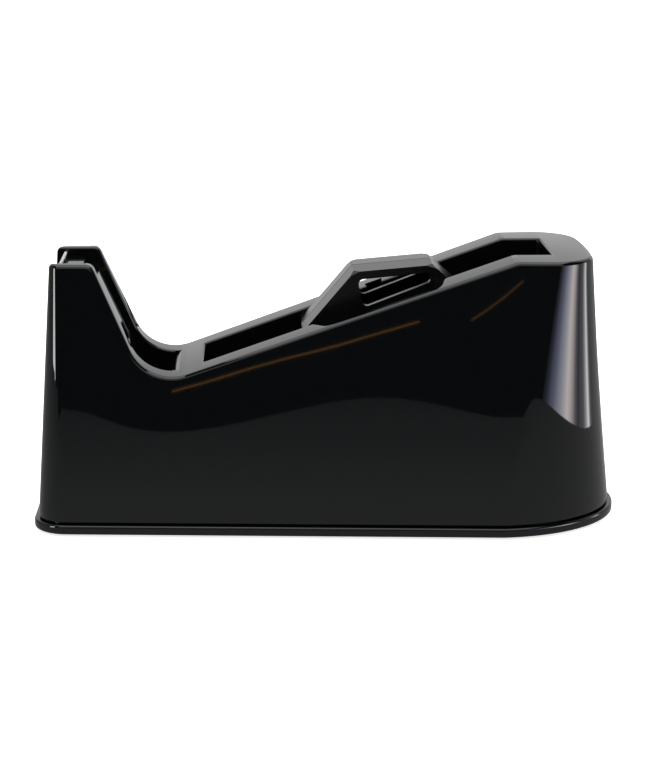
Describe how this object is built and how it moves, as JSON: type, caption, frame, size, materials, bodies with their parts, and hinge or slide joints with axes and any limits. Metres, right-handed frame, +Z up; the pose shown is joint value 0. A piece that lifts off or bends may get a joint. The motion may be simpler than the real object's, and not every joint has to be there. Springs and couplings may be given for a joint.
{
  "type": "tape dispenser",
  "caption": "Heavy gloss black desktop tape dispenser with a sloping casing, lift-out octagonal core hub on an axle, steel cutter blade and weighted base.",
  "frame": {"origin": "on the desk, under the middle of the base's bounding box", "axes": "+Z up, X along the body with the cutter at -X and the rounded rear at +X, -Y is the left side with the finger scoop"},
  "size_m": [0.2154, 0.0786, 0.1],
  "materials": {
    "casing": "glossy black moulding",
    "base": "glossy black moulding",
    "hub": "satin black moulding",
    "insert": "glossy black moulding",
    "steel": "bright steel",
    "iron": "rough cast",
    "nylon": "natural nylon",
    "rubber": "matt black"
  },
  "bodies": {
    "casing": {"body_shell": "casing", "blade_holder": "insert", "cutter_blade": "steel", "blade_screws": "steel", "holder_screws": "steel", "front_weight": "iron", "rear_weight": "iron", "weight_screws": "steel", "base_plate": "base", "base_screws": "steel", "front_left_foot": "rubber", "front_right_foot": "rubber", "rear_left_foot": "rubber", "rear_right_foot": "rubber"},
    "axle_set": {"axle": "steel", "left_thrust_washer": "nylon", "right_thrust_washer": "nylon", "drag_spring": "steel"},
    "hub": {"left_hub_half": "hub", "right_hub_half": "hub", "core_arbor": "insert", "hub_screws": "steel"}
  },
  "joints": [
    {"name": "hub_lift", "type": "slide", "parent": "casing", "child": "axle_set", "axis": [-0.3289, 0, 0.9444], "range_m": [0, 0.075]},
    {"name": "hub_spin", "type": "hinge", "parent": "axle_set", "child": "hub", "pos_m": [0.02635, 0, 0.06034], "axis": [0, 1, 0], "continuous": true}
  ]
}
